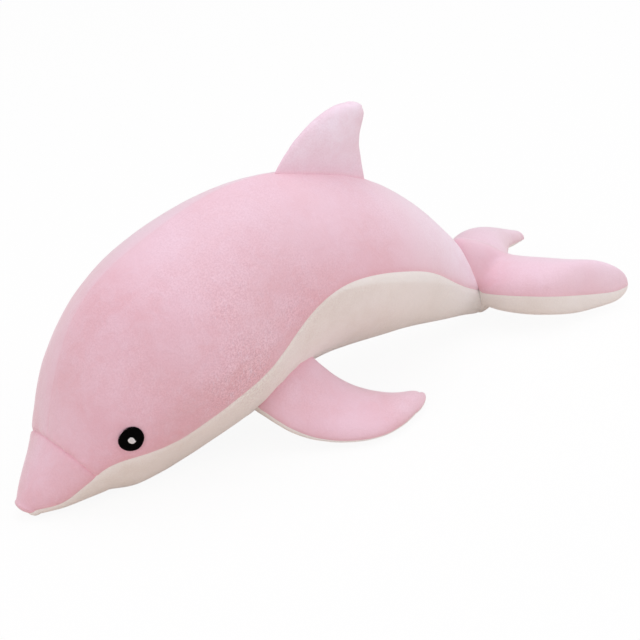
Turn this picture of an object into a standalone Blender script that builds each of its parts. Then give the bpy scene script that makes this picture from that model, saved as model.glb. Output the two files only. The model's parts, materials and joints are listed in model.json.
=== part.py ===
"""Plush dolphin lying on its chest, sewn from pink and white panels and stuffed.

The nose points to -X, the tail to +X, the left side to -Y, and the floor is at z = 0.
All sizes below are in millimetres. The mesh maker turns them into metres.
"""

import math

import bmesh
import bpy
import numpy as np

MM = 0.001

# Fabric and fit
SKIN = 3.0
SEAM_GAP = 0.3
# Each panel edge stays this far from the seam line, so that neighbours only nearly touch.
EDGE_PULL = 0.18
FILLING_GAP = 0.6
FLOOR = 0.0
MIDDLE = 350.5

# Body sections from the beak seam to the tail seam. Each row holds the point on the back
# (x, z), the point on the belly (x, z), the half width, how sharp the back is, how high
# the widest place lies, and the angle of the pink and white seam from the top, in degrees.
BODY = (
    (26.5, 72.5, 72.0, 2.0, 58.0, 0.02, 0.58, 86),
    (57.0, 156.0, 98.0, -6.0, 77.5, 0.10, 0.48, 99),
    (105.5, 212.5, 143.5, -4.0, 89.0, 0.17, 0.50, 111),
    (170.0, 241.5, 198.0, 12.5, 103.5, 0.17, 0.49, 113),
    (252.5, 262.5, 257.0, 26.0, 90.5, 0.14, 0.44, 111),
    (346.0, 254.5, 317.0, 43.5, 83.0, 0.27, 0.50, 94),
    (444.0, 210.5, 401.0, 41.5, 77.0, 0.28, 0.50, 83),
    (513.5, 148.0, 471.5, 28.5, 48.5, 0.23, 0.50, 84),
    (547.0, 104.0, 570.5, 9.0, 19.0, 0.14, 0.45, 103),
)
# Beak sections from its seam to its tip, in the same terms.
BEAK = (
    BODY[0],
    (12.0, 55.0, 50.0, 0.5, 46.0, 0.04, 0.52, 88),
    (-3.5, 35.0, 27.0, 0.5, 33.0, 0.04, 0.44, 96),
    (-14.0, 20.0, 5.0, 1.0, 19.5, 0.04, 0.45, 112),
)
BEAK_TIP_LENGTH = 7.0
BEAK_TIP_HEIGHT = 0.30
BEAK_TIP_FULLNESS = 0.7

# Dorsal fin edges in the middle plane (x, z), from inside the back to the tip.
FIN_LEADING = ((316, 247), (338.5, 272.3), (362.5, 290), (388, 302), (412, 306), (433.5, 302))
FIN_TRAILING = ((437, 192), (433.5, 240), (432, 258), (436, 274), (441, 289.5), (433.5, 302))
FIN_HALF_THICKNESS = (5, 7, 9, 9, 8, 5)

# Left flipper edges (x, y, z), from inside the body to the tip.
FLIPPER_LEADING = (
    (228, -30, 58), (240, -76, 40.5), (269, -105, 16), (315, -137.5, 8), (365, -136, 7.5), (407, -114, 8)
)
FLIPPER_TRAILING = (
    (303, -44, 84), (322, -59, 55.5), (346, -70, 30), (378, -91, 15), (405, -99, 10), (407, -114, 8)
)
FLIPPER_TOP_RISE = (20, 20, 19, 16, 13, 8)
FLIPPER_BOTTOM_DROP = (20, 17, 9, 6, 5.5, 5)

# Fluke edges on the left half (x, y, z), from the tail seam or the notch to the tip.
FLUKE_LEADING = (
    (562, -18.5, 42), (572, -53, 47), (607, -84, 43.5), (650, -88, 31), (692, -92, 21), (717, -87, 19.5)
)
FLUKE_TRAILING = (
    (625, 0, 48), (640, -24, 45), (659, -45, 41), (679, -63, 33), (703, -77, 24), (717, -87, 19.5)
)
FLUKE_TOP_RISE = (26, 28, 29, 31, 25, 16)
FLUKE_RIGHT_TOP_RISE = (26, 28, 28, 23, 14, 9)
FLUKE_BOTTOM_DROP = (36, 40, 39, 33, 22, 12)
FLUKE_RIGHT_BOTTOM_DROP = (36, 40, 34, 18, 8, 4)
FLUKE_UNDERCUT = 0.85
FLUKE_MIDDLE_RISE = 9.0
FLUKE_MIDDLE_DROP = 2.0
FLUKE_RIGHT_SETTLE = (-4, 0, 1)
FLUKE_SETTLE_BEND = 1.5
FLUKE_NECK_SHARE = 0.12

# Eyes: a pad of black thread with a small white dot
EYE_DIAMETER = 25.8
EYE_RISE = 1.8
EYE_DOT_DIAMETER = 8.0
EYE_DOT_RISE = 0.7
EYE_STATION = 1.07
EYE_ANGLE = 81.0
EYE_ROOT = 3.0
EYE_ROUNDING = 0.6

# Mesh fineness
STEPS_PER_SECTION = 3
SIDE_STEPS = 7
BELLY_STEPS = 7
BEAK_ROWS = 5
TIP_ROWS = 3
LOBE_ROWS = 8
LOBE_COLUMNS = 7
NECK_ROWS = 4
EYE_RINGS = 3
EYE_SPOKES = 20
MERGE_DISTANCE = 0.002
SHARP_ANGLE = 50.0

# Lobe shape: how far inner layers may narrow, how early they end, how blunt the tips are,
# and how late the flukes swell from their neck to the lobes
NARROWEST_SHARE = 0.35
TIP_SETBACK = 2.5
TIP_BLUNTNESS = 8
NECK_SWELL = 2

PINK = (0.80, 0.42, 0.53)
WHITE = (0.80, 0.77, 0.74)
FILLING = (0.86, 0.86, 0.84)
BLACK_THREAD = (0.012, 0.011, 0.013)
WHITE_THREAD = (0.85, 0.83, 0.84)


def clear_scene():
    for old in list(bpy.data.objects):
        bpy.data.objects.remove(old, do_unlink=True)


def new_collection(name):
    group = bpy.data.collections.new(name)
    bpy.context.scene.collection.children.link(group)
    return group


def new_material(name, colour, roughness):
    material = bpy.data.materials.new(name)
    material.use_nodes = True
    shader = material.node_tree.nodes["Principled BSDF"]
    shader.inputs["Base Color"].default_value = (*colour, 1.0)
    shader.inputs["Roughness"].default_value = roughness
    shader.inputs["Metallic"].default_value = 0.0
    return material


def spline(points, at):
    """Natural cubic spline through the points, read at the given places (0, 1, 2 ...)."""
    points = np.array(points, float)
    at = np.atleast_1d(np.array(at, float))
    count = len(points)
    system = np.eye(count)
    right = np.zeros_like(points)
    for i in range(1, count - 1):
        system[i, i - 1:i + 2] = (1, 4, 1)
        right[i] = 6 * (points[i + 1] - 2 * points[i] + points[i - 1])
    bend = np.linalg.solve(system, right)
    left = np.clip(np.floor(at).astype(int), 0, count - 2)
    b = (at - left)[:, None]
    a = 1 - b
    low, high = points[left], points[left + 1]
    return a * low + b * high + ((a ** 3 - a) * bend[left] + (b ** 3 - b) * bend[left + 1]) / 6


def ring_point(section, angle):
    """Point of a body section at an angle from the top, positive towards the left side."""
    back_x, back_z, belly_x, belly_z, half_width, peak, widest = section[:7]
    turn = abs(angle)
    quarter = math.pi / 2
    slope = turn / quarter if turn < quarter else (math.pi - turn) / quarter
    across = half_width * ((1 - peak) * math.sin(turn) + peak * slope)
    if turn < quarter:
        height = widest + (1 - widest) * ((1 - peak) * math.cos(turn) + peak * (1 - turn / quarter))
    else:
        height = widest + widest * math.cos(turn)
    x = belly_x + (back_x - belly_x) * height
    z = belly_z + (back_z - belly_z) * height
    return (x, -math.copysign(across, angle), z)


def ring_angles(seam):
    """Angles once round a section: left side, belly, right side."""
    left = np.linspace(0, seam, SIDE_STEPS, endpoint=False)
    belly = np.linspace(seam, 2 * math.pi - seam, BELLY_STEPS, endpoint=False)
    belly = np.where(belly > math.pi, belly - 2 * math.pi, belly)
    right = np.linspace(-seam, 0, SIDE_STEPS, endpoint=False)
    return np.concatenate([left, belly, right])


def rings(sections, at):
    grid = []
    for section in spline(sections, at):
        seam = math.radians(section[7])
        grid.append([ring_point(section, angle) for angle in ring_angles(seam)])
    return np.array(grid)


def body_surface():
    """Closed surface from the beak tip to the tail seam, and its outward directions."""
    beak = rings(BEAK[::-1], np.linspace(0, len(BEAK) - 1, BEAK_ROWS + 1))
    body = rings(BODY, np.linspace(0, len(BODY) - 1, STEPS_PER_SECTION * (len(BODY) - 1) + 1))
    front = beak[0]
    low, high = np.array(BEAK[-1][2:4]), np.array(BEAK[-1][0:2])
    middle = low + (high - low) * BEAK_TIP_HEIGHT
    centre = np.array((middle[0], 0, middle[1]))
    behind = (np.array(BEAK[-2][0:2]) + np.array(BEAK[-2][2:4])) / 2
    forward = (high + low) / 2 - behind
    forward = np.array((forward[0], 0, forward[1])) / np.linalg.norm(forward)
    tip = []
    for turn in np.linspace(math.pi / 2, 0, TIP_ROWS + 1)[:-1]:
        narrowing = math.cos(turn) ** BEAK_TIP_FULLNESS
        tip.append(centre + (front - centre) * narrowing + forward * BEAK_TIP_LENGTH * math.sin(turn))
    grid = np.concatenate([np.array(tip), beak[:-1], body])
    along = np.gradient(grid, axis=0)
    around = np.roll(grid, -1, axis=1) - np.roll(grid, 1, axis=1)
    out = np.cross(around, along)
    out[0] = forward
    tail = np.array((BODY[-1][3] - BODY[-1][1], 0, BODY[-1][0] - BODY[-1][2]))
    tail /= np.linalg.norm(tail)
    out[-1] -= (out[-1] @ tail)[:, None] * tail
    out /= np.linalg.norm(out, axis=2, keepdims=True)
    return grid, out


def sunk(surface, depth):
    """The body surface moved inwards by a depth, and kept that far above the floor."""
    grid, out = surface
    moved = grid - out * depth
    moved[..., 2] = np.maximum(moved[..., 2], FLOOR + depth)
    return moved


def pull_in(grid):
    """Draw the edges of a panel back from its seam lines."""
    grid = grid.copy()
    for edge, beside in ((0, 1), (-1, -2)):
        for line, next_line in ((grid[edge], grid[beside]), (grid[:, edge], grid[:, beside])):
            inwards = next_line - line
            if np.ptp(line, axis=0).max() < MERGE_DISTANCE:
                inwards = np.tile(inwards.mean(axis=0), (len(line), 1))
            length = np.linalg.norm(inwards, axis=1, keepdims=True)
            line += inwards / np.maximum(length, MERGE_DISTANCE) * EDGE_PULL
    return grid


def add_faces(mesh, grid, verts, mirror_row=0):
    """Triangles over a grid, split alike on parallel surfaces, and mirrored before mirror_row."""
    rows, columns = grid.shape[:2]
    for i in range(rows - 1):
        for j in range(columns - 1):
            near, near_next = verts[i][j], verts[i][j + 1]
            far, far_next = verts[i + 1][j], verts[i + 1][j + 1]
            if i < mirror_row:
                near, near_next, far, far_next = far, far_next, near, near_next
            mesh.faces.new((near, near_next, far_next))
            mesh.faces.new((near, far_next, far))


def add_strip(mesh, line, other_line):
    """Triangles between two lines of as many points."""
    for k in range(len(line) - 1):
        mesh.faces.new((line[k], line[k + 1], other_line[k + 1]))
        mesh.faces.new((line[k], other_line[k + 1], other_line[k]))


def add_verts(mesh, grid):
    placed = (grid - (MIDDLE, 0, 0)) * MM
    return [[mesh.verts.new(point) for point in row] for row in placed]


def finish(mesh, name, material, group):
    bmesh.ops.remove_doubles(mesh, verts=mesh.verts, dist=MERGE_DISTANCE * MM)
    # At a flattened tip the corner triangle of both surfaces is one and the same.
    flaps = [face for face in mesh.faces if any(edge.is_boundary for edge in face.edges)]
    bmesh.ops.delete(mesh, geom=flaps, context="FACES")
    loose = [edge for edge in mesh.edges if not edge.link_faces]
    bmesh.ops.delete(mesh, geom=loose, context="EDGES")
    bmesh.ops.recalc_face_normals(mesh, faces=mesh.faces)
    if mesh.calc_volume(signed=True) < 0:
        bmesh.ops.reverse_faces(mesh, faces=mesh.faces)
    data = bpy.data.meshes.new(name)
    mesh.to_mesh(data)
    mesh.free()
    data.materials.append(material)
    data.shade_smooth()
    data.set_sharp_from_angle(angle=math.radians(SHARP_ANGLE))
    part = bpy.data.objects.new(name, data)
    group.objects.link(part)
    return part


def shell(name, outer, inner, material, group, mirror_row=0):
    """Panel of fabric between an outer and an inner surface, closed round its edges."""
    mesh = bmesh.new()
    outside = add_verts(mesh, outer)
    inside = add_verts(mesh, inner)
    add_faces(mesh, outer, outside, mirror_row)
    add_faces(mesh, inner, inside, mirror_row)
    for i in (0, -1):
        add_strip(mesh, outside[i], inside[i])
    for j in (0, -1):
        add_strip(mesh, [row[j] for row in outside], [row[j] for row in inside])
    return finish(mesh, name, material, group)


def filled(name, upper, lower, material, group):
    """Closed body between two surfaces that share their far edges and are open at the root."""
    mesh = bmesh.new()
    above = add_verts(mesh, upper)
    below = add_verts(mesh, lower)
    add_faces(mesh, upper, above)
    add_faces(mesh, lower, below)
    mesh.faces.new([*above[0], *reversed(below[0][1:-1])])
    return finish(mesh, name, material, group)


def pad(name, upper, lower, material, group):
    """Round pad between two faces that run from the centre to the rim."""
    mesh = bmesh.new()
    above = add_verts(mesh, upper)
    below = add_verts(mesh, lower)
    add_faces(mesh, upper, above)
    add_faces(mesh, lower, below)
    add_strip(mesh, above[-1], below[-1])
    return finish(mesh, name, material, group)


def closed_body(name, surface, material, group):
    """Closed body from a surface that runs from a point to an open ring."""
    mesh = bmesh.new()
    around = np.concatenate([surface, surface[:, :1]], axis=1)
    verts = add_verts(mesh, around)
    add_faces(mesh, around, verts)
    mesh.faces.new(verts[-1][:-1])
    return finish(mesh, name, material, group)


def lobe(leading, trailing, top_rise, bottom_drop, up, inset):
    """Upper and lower surface of a stuffed fin, from its root to its rounded tip.

    An inset draws the outline and both surfaces inwards by the same depth.
    """
    last = len(leading) - 1
    place = np.sin(np.linspace(0, math.pi / 2, LOBE_ROWS + 1))
    reach = np.linalg.norm(np.array(leading[-1]) - np.array(leading[0]))
    place = place * (1 - TIP_SETBACK * inset / reach)
    front = spline(leading, place * last)
    rear = spline(trailing, place * last)
    closing = np.sqrt(np.maximum(1 - (place / place[-1]) ** TIP_BLUNTNESS, 0))
    room = left_over(front, rear, inset) * closing
    front, rear = narrowed(front, rear, inset), narrowed(rear, front, inset)
    return [
        bowed(front, rear, spline(np.array(heights, float)[:, None], place * last), room, bow, inset)
        for heights, bow in ((top_rise, np.array(up, float)), (bottom_drop, -np.array(up, float)))
    ]


def left_over(front, rear, inset):
    """Share of the crown that is left where the outline has been drawn in."""
    length = np.maximum(np.linalg.norm(rear - front, axis=1), MERGE_DISTANCE)
    return np.sqrt(1 - 2 * np.minimum(inset / length, NARROWEST_SHARE))


def narrowed(edge, other_edge, inset):
    """An edge moved towards the opposite edge, never quite to the middle between them."""
    chord = other_edge - edge
    length = np.maximum(np.linalg.norm(chord, axis=1, keepdims=True), MERGE_DISTANCE)
    return edge + chord * np.minimum(inset / length, NARROWEST_SHARE)


def bowed(front, rear, height, room, bow, inset, undercut=0.0):
    """Surface whose ribs bow between a front and a rear edge.

    An undercut takes that share of the bow away towards the rear edge.
    """
    share = (1 - np.cos(np.linspace(0, math.pi, LOBE_COLUMNS + 1))) / 2
    round_over = np.sqrt(np.maximum(4 * share * (1 - share), 0))
    crown = np.maximum(height * (1 - undercut * share) - inset, 0) * room[:, None] * round_over
    flat = front[:, None] * (1 - share)[None, :, None] + rear[:, None] * share[None, :, None]
    surface = flat + bow * crown[..., None]
    surface[..., 2] = np.maximum(surface[..., 2], FLOOR + EDGE_PULL + inset)
    return surface


def mirrored(grid):
    return grid * (1, -1, 1)


def lifted(grid, up, distance):
    return grid + np.array(up, float) * distance


def fluke_half(top_rise, bottom_drop, inset):
    """Upper and lower surface of the left half of the flukes, from the middle to the tip."""
    section = list(BODY[-1])
    seam = math.radians(section[7])
    back, belly = np.array(section[0:2]), np.array(section[2:4])
    along = (back - belly) / np.linalg.norm(back - belly)
    section[0:2] = back - along * inset
    section[2:4] = belly + along * inset
    section[4] -= inset
    behind = np.array((along[1], 0, -along[0])) * SEAM_GAP
    behind = behind * math.copysign(1, behind[0])
    over = np.array([ring_point(section, a) for a in np.linspace(0, seam, NECK_ROWS + 1)]) + behind
    under = np.array([ring_point(section, a) for a in np.linspace(math.pi, seam, NECK_ROWS + 1)]) + behind
    last = len(FLUKE_LEADING) - 1
    place = np.sin(np.linspace(0, math.pi / 2, LOBE_ROWS + 1))[1:]
    reach = np.linalg.norm(np.array(FLUKE_LEADING[-1]) - np.array(FLUKE_LEADING[0]))
    place = place * (1 - TIP_SETBACK * inset / reach)
    front = spline(FLUKE_LEADING, place * last)
    neck = np.linspace(0, FLUKE_NECK_SHARE, NECK_ROWS + 1)
    rear_place = np.concatenate([neck, FLUKE_NECK_SHARE + (1 - FLUKE_NECK_SHARE) * place])
    rear = spline(FLUKE_TRAILING, rear_place * last)
    closing = np.sqrt(np.maximum(1 - (place / place[-1]) ** TIP_BLUNTNESS, 0))
    blend = np.linspace(0, 1, NECK_ROWS + 1)
    notch, lobe_rear = rear[:NECK_ROWS + 1], rear[NECK_ROWS + 1:]
    rear_edge = np.concatenate([notch - (inset, 0, 0), narrowed(lobe_rear, front, inset)])
    room = np.concatenate([np.ones(NECK_ROWS + 1), left_over(front, lobe_rear, inset) * closing])
    front = narrowed(front, lobe_rear, inset)
    surfaces = []
    for start, heights, middle, bow, undercut in (
        (over, top_rise, FLUKE_MIDDLE_RISE, (0, 0, 1), 0),
        (under, bottom_drop, FLUKE_MIDDLE_DROP, (0, 0, -1), FLUKE_UNDERCUT),
    ):
        outer = spline(np.array(heights, float)[:, None], place * last)
        inner = middle + (heights[0] - middle) * blend[:, None] ** NECK_SWELL
        height = np.concatenate([inner, outer])
        front_edge = np.concatenate([start, front])
        surfaces.append(bowed(front_edge, rear_edge, height, room, np.array(bow, float), inset, undercut))
    return surfaces


def whole_fluke(inset):
    """Both lobes, with the right one a little flatter and further forward at its tip."""
    neck = BODY[-1][4]
    span = abs(FLUKE_LEADING[-1][1])
    whole = []
    left_half = fluke_half(FLUKE_TOP_RISE, FLUKE_BOTTOM_DROP, inset)
    right_half = fluke_half(FLUKE_RIGHT_TOP_RISE, FLUKE_RIGHT_BOTTOM_DROP, inset)
    for left, right in zip(left_half, right_half):
        right = mirrored(right)[1:]
        reach = np.clip((right[..., 1:2] - neck) / (span - neck), 0, 1) ** FLUKE_SETTLE_BEND
        right = right + reach * np.array(FLUKE_RIGHT_SETTLE, float)
        right[..., 2] = np.maximum(right[..., 2], FLOOR + EDGE_PULL + inset)
        whole.append(np.concatenate([left[::-1], right]))
    return whole


def cut(part, cutter):
    trim = part.modifiers.new("trim_to_body", "BOOLEAN")
    trim.operation = "DIFFERENCE"
    trim.solver = "EXACT"
    trim.object = cutter


def eye_grid(surface_at, diameter, low, high):
    """Upper and lower face of a thread pad that follows the side of the head."""
    radii = np.linspace(0, 1, EYE_RINGS + 1)
    turns = np.linspace(0, 2 * math.pi, EYE_SPOKES + 1)
    base = max(low, 0)
    upper, lower = [], []
    for radius in radii:
        point = [surface_at(radius * diameter / 2, turn) for turn in turns]
        crown = base + (high - base) * math.sqrt(1 - EYE_ROUNDING * radius ** 4)
        upper.append([p + n * crown for p, n in point])
        lower.append([p + n * low for p, n in point])
    return np.array(upper), np.array(lower)


def head_side(side):
    """Function from a polar place round the eye to a point of the head and its direction."""

    def at(station, angle):
        return np.array(ring_point(spline(BODY, [station])[0], angle))

    angle = math.radians(EYE_ANGLE)
    step = 0.01
    centre = at(EYE_STATION, angle)
    per_station = (at(EYE_STATION + step, angle) - at(EYE_STATION - step, angle)) / (2 * step)
    per_angle = (at(EYE_STATION, angle + step) - at(EYE_STATION, angle - step)) / (2 * step)
    out = np.cross(per_angle, per_station)
    out /= np.linalg.norm(out)
    if out[1] > 0:
        out = -out
    along = per_station / np.linalg.norm(per_station)
    across = np.cross(out, along)
    frame = np.array([per_station, per_angle, out]).T

    def place(radius, turn):
        wanted = along * math.cos(turn) * radius + across * math.sin(turn) * radius
        share = np.linalg.solve(frame, wanted)
        point = at(EYE_STATION + share[0], angle + share[1])
        flip = np.array((1, side, 1))
        return point * flip, out * flip

    return place


def build():
    clear_scene()
    toy = new_collection("plush_dolphin")
    tools = new_collection("cutters")
    pink = new_material("pink_plush", PINK, 0.9)
    white = new_material("white_plush", WHITE, 0.9)
    filling = new_material("fibre_filling", FILLING, 0.95)
    black = new_material("black_thread", BLACK_THREAD, 0.55)
    bright = new_material("white_thread", WHITE_THREAD, 0.55)

    surface = body_surface()
    outer, inner = sunk(surface, 0), sunk(surface, SKIN)
    beak_end = TIP_ROWS + BEAK_ROWS
    left = slice(0, SIDE_STEPS + 1)
    under = slice(SIDE_STEPS, SIDE_STEPS + BELLY_STEPS + 1)
    right = [*range(SIDE_STEPS + BELLY_STEPS, 2 * SIDE_STEPS + BELLY_STEPS), 0]
    over = [*right, *range(1, SIDE_STEPS + 1)]

    def panel(name, rows, columns, material):
        pair = [pull_in(grid[rows][:, columns]) for grid in (outer, inner)]
        shell(name, pair[0], pair[1], material, toy)

    panel("side_panel_left", slice(beak_end, None), left, pink)
    panel("side_panel_right", slice(beak_end, None), right, pink)
    panel("beak_top_panel", slice(0, beak_end + 1), over, pink)
    panel("belly_panel", slice(0, None), under, white)
    closed_body("body_stuffing", sunk(surface, SKIN + FILLING_GAP), filling, toy)

    body_cutter = closed_body("body_cutter", sunk(surface, -SEAM_GAP), filling, tools)
    body_cutter.hide_render = True
    body_cutter.display_type = "WIRE"

    def sewn_lobe(names, leading, trailing, rise, drop, up, materials, side):
        pair = [lobe(leading, trailing, rise, drop, up, depth) for depth in (0, SKIN, SKIN + FILLING_GAP)]
        if side < 0:
            pair = [[mirrored(grid) for grid in both] for both in pair]
        up = np.array(up, float) * (1, side, 1)
        for k, shift in enumerate((EDGE_PULL, -EDGE_PULL)):
            layers = [lifted(layer[k], up, shift) for layer in pair[:2]]
            skin = shell(names[k], *layers, materials[k], toy)
            cut(skin, body_cutter)
        core = filled(names[2], pair[2][0], pair[2][1], filling, toy)
        cut(core, body_cutter)

    fin_edges = [[(x, 0, z) for x, z in edge] for edge in (FIN_LEADING, FIN_TRAILING)]
    fin_names = ("dorsal_fin_left_panel", "dorsal_fin_right_panel", "dorsal_fin_stuffing")
    sewn_lobe(fin_names, *fin_edges, FIN_HALF_THICKNESS, FIN_HALF_THICKNESS, (0, -1, 0), (pink, pink), 1)
    for word, side in (("left", 1), ("right", -1)):
        names = [f"flipper_{word}_{layer}" for layer in ("top", "bottom", "stuffing")]
        edges = (FLIPPER_LEADING, FLIPPER_TRAILING)
        thickness = (FLIPPER_TOP_RISE, FLIPPER_BOTTOM_DROP)
        sewn_lobe(names, *edges, *thickness, (0, 0, 1), (pink, white), side)

    outside, inside, core = (whole_fluke(depth) for depth in (0, SKIN, SKIN + FILLING_GAP))
    middle = LOBE_ROWS + NECK_ROWS
    fluke_panels = (("fluke_top_panel", pink, EDGE_PULL), ("fluke_bottom_panel", white, -EDGE_PULL))
    for k, (name, material, shift) in enumerate(fluke_panels):
        layers = [lifted(layer[k], (0, 0, 1), shift) for layer in (outside, inside)]
        shell(name, *layers, material, toy, middle)
    shell("fluke_stuffing", *core, filling, toy, middle)

    for word, side in (("left", 1), ("right", -1)):
        place = head_side(side)
        eye = pad(f"eye_{word}", *eye_grid(place, EYE_DIAMETER, -EYE_ROOT, EYE_RISE), black, toy)
        cut(eye, body_cutter)
        dot_low = EYE_RISE + SEAM_GAP
        dot = eye_grid(place, EYE_DOT_DIAMETER, dot_low, dot_low + EYE_DOT_RISE)
        pad(f"eye_{word}_dot", *dot, bright, toy)


build()
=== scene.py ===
"""Plush dolphin: the sewn pink and white skins, embroidered eyes, materials, light and camera.

Lengths in the tables are in millimetres, in the same places as the solids, with the nose
towards -X, the left side towards -Y and the floor at z = 0.
"""

import json
import math

import bpy
import bmesh
import numpy as np
from mathutils import Matrix, Vector, noise
from mathutils.bvhtree import BVHTree
from mathutils.kdtree import KDTree

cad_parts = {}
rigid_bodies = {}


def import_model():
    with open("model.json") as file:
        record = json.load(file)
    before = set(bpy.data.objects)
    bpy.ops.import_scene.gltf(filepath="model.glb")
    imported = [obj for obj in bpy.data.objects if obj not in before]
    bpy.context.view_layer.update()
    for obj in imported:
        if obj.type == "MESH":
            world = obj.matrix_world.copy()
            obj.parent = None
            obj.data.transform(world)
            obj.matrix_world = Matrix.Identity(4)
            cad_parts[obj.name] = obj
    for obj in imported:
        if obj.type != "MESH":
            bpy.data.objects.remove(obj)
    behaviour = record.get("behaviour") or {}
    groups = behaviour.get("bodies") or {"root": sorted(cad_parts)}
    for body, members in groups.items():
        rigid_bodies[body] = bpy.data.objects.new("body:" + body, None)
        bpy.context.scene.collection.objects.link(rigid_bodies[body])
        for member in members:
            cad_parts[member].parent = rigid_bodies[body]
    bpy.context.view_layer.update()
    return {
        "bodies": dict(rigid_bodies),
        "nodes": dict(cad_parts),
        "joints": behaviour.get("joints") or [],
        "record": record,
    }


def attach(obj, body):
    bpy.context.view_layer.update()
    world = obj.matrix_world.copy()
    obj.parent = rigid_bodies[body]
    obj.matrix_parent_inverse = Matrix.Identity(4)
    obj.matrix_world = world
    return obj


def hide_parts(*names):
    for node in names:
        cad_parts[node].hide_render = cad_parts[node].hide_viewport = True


MM = 0.001
MIDDLE = 350.5

# Body sections from the beak seam to the tail seam: the point on the back (x, z), the point
# on the belly (x, z), half width, how sharp the back is, how high the widest place lies,
# and the angle of the pink and white seam from the top, in degrees.
BODY = (
    (26.5, 72.5, 72.0, 2.0, 58.0, 0.02, 0.58, 86),
    (57.0, 156.0, 98.0, -6.0, 77.5, 0.10, 0.48, 99.5),
    (105.5, 212.5, 143.5, -4.0, 89.0, 0.17, 0.50, 115.5),
    (170.0, 241.5, 198.0, 12.5, 103.5, 0.17, 0.49, 111),
    (252.5, 262.5, 257.0, 26.0, 90.5, 0.14, 0.44, 102),
    (346.0, 254.5, 317.0, 43.5, 83.0, 0.27, 0.50, 88.5),
    (444.0, 210.5, 401.0, 41.5, 77.0, 0.28, 0.50, 82),
    (513.5, 148.0, 471.5, 28.5, 48.5, 0.23, 0.50, 82.5),
    (547.0, 104.0, 570.5, 9.0, 19.0, 0.14, 0.45, 98),
)
BEAK = (
    BODY[0],
    (12.0, 55.0, 50.0, 0.5, 46.0, 0.04, 0.52, 88),
    (-3.5, 35.0, 27.0, 1.0, 33.0, 0.04, 0.44, 88),
    (-14.5, 16.5, 4.0, 1.8, 17.5, 0.04, 0.42, 74),
)
BEAK_TIP_LENGTH = 7.0
BEAK_TIP_HEIGHT = 0.42
BEAK_TIP_FULLNESS = 0.7

# Leading and trailing edge of each fin from root to tip (x, y, z), and how far its skins bulge
# from root to tip.
FIN_LEADING = (
    (316, 0, 247), (338.5, 0, 272.3), (362.5, 0, 290),
    (388, 0, 302), (412, 0, 306), (433.5, 0, 302),
)
FIN_TRAILING = (
    (437, 0, 192), (433.5, 0, 240), (432, 0, 258),
    (436, 0, 274), (441, 0, 289.5), (433.5, 0, 302),
)
FIN_HALF_THICKNESS = (4, 6.5, 9, 9, 8, 5)
FLIPPER_LEADING = (
    (228, -30, 58), (240, -76, 40.5), (269, -105, 16),
    (315, -137.5, 8), (365, -136, 7.5), (407, -114, 8),
)
FLIPPER_TRAILING = (
    (303, -44, 84), (322, -59, 55.5), (346, -70, 30),
    (378, -91, 15), (405, -99, 10), (407, -114, 8),
)
FLIPPER_TOP_RISE = (20, 20, 19, 16, 13, 8)
FLIPPER_BOTTOM_DROP = (26, 23, 12, 6, 5.5, 5)
FLUKE_LEADING = (
    (562, -18.5, 42), (572, -53, 47), (607, -84, 43.5),
    (650, -88, 31), (692, -92, 21), (717, -87, 19.5),
)
FLUKE_TRAILING = (
    (625, 0, 48), (640, -24, 45), (659, -45, 41),
    (679, -63, 33), (703, -77, 24), (717, -87, 19.5),
)
FLUKE_TOP_RISE = (26, 28, 29, 33, 29, 20)
FLUKE_RIGHT_TOP_RISE = (26, 28, 28, 24, 18, 16)
FLUKE_BOTTOM_DROP = (40, 44, 43, 36, 24, 14)
FLUKE_RIGHT_BOTTOM_DROP = (40, 44, 36, 16, 6, 3)
# The flukes' underside falls away towards its trailing edge, they are thinner in the middle,
# and the right one sinks a little towards its tip.
FLUKE_UNDERCUT = 0.85
FLUKE_MIDDLE_RISE = 14.0
FLUKE_MIDDLE_DROP = 8.0
FLUKE_RIGHT_SETTLE = (-4, 0, 1)
FLUKE_SETTLE_BEND = 1.5
FLUKE_NECK_SHARE = 0.12
NECK_SWELL = (2, 2.2)
TIP_BLUNTNESS = 8

# Where the eyes lie, counted in body sections and degrees from the top, and their size.
EYE_STATION = 1.045
EYE_ANGLE = 84.4
EYE_DIAMETER = 25.8
EYE_RISE = 1.5
EYE_DOT_DIAMETER = 7.6
EYE_DOT_RISE = 2.25

# The fabric and its cut edges, its gap to the floor, and how a fin's foot and tip are shaped.
FABRIC_THICKNESS = 1.2
CUT_EDGE_ANGLE = 50
FLOOR_CLEARANCE = 0.2
ROOT_TUCK = 0.6
ROOT_FLARE = 1.5
TIP_ROUNDING = 0.12
FLUKE_SMOOTHING = 16

# Each seam of the skins: how deep the fabric rolls in beside it and over what width, then the
# height, size and reach of its gathers and the number of their pattern.
BACK_SEAM = (0.35, 5, 0.2, 16, 16, 4)
SIDE_SEAM = (1.0, 7, 0.3, 14, 14, 3)
BEAK_SEAM = (1.7, 5, 1.0, 7, 10, 1)
TAIL_SEAM = (0.3, 7, 0.6, 11, 14, 2)
FIN_SEAM = (0.9, 4.5, 0.55, 13, 10)
FLUKE_SEAM = (0.9, 4.5, 0.5, 14, 10, 31)
# Gathers of a fin at its root, and of the body round it, and how the body dips there.
ROOT_GATHERS = (0.8, 9, 12)
BODY_ROOT_GATHERS = (0.7, 10, 16, 7)
ROOT_DIP = 0.4
ROOT_DIP_WIDTH = 4.5
# The most that a fin's skin is drawn in, as a share of the way to its middle.
EDGE_ROOM = 0.3

# Soft unevenness of the filled skins: height, size and pattern, and how far from a seam it starts.
BODY_LUMPS = (1.0, 70, 5)
BODY_RIPPLES = (0.3, 26, 6)
LUMP_FADE = 30
FIN_LUMPS = (1.1, 34)
FIN_LUMP_FADE = (20, 12)
FLUKE_LUMPS = (1.4, 36)
FLUKE_LUMP_FADE = 14
FLUKE_PATTERN = 33
# The small wrinkles of the lower jaw, and how far back and up they reach.
JAW_WRINKLES = (1.1, 5, 8)
JAW_END = 12.0
JAW_FADE = 20
JAW_HEIGHT = 9
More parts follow.
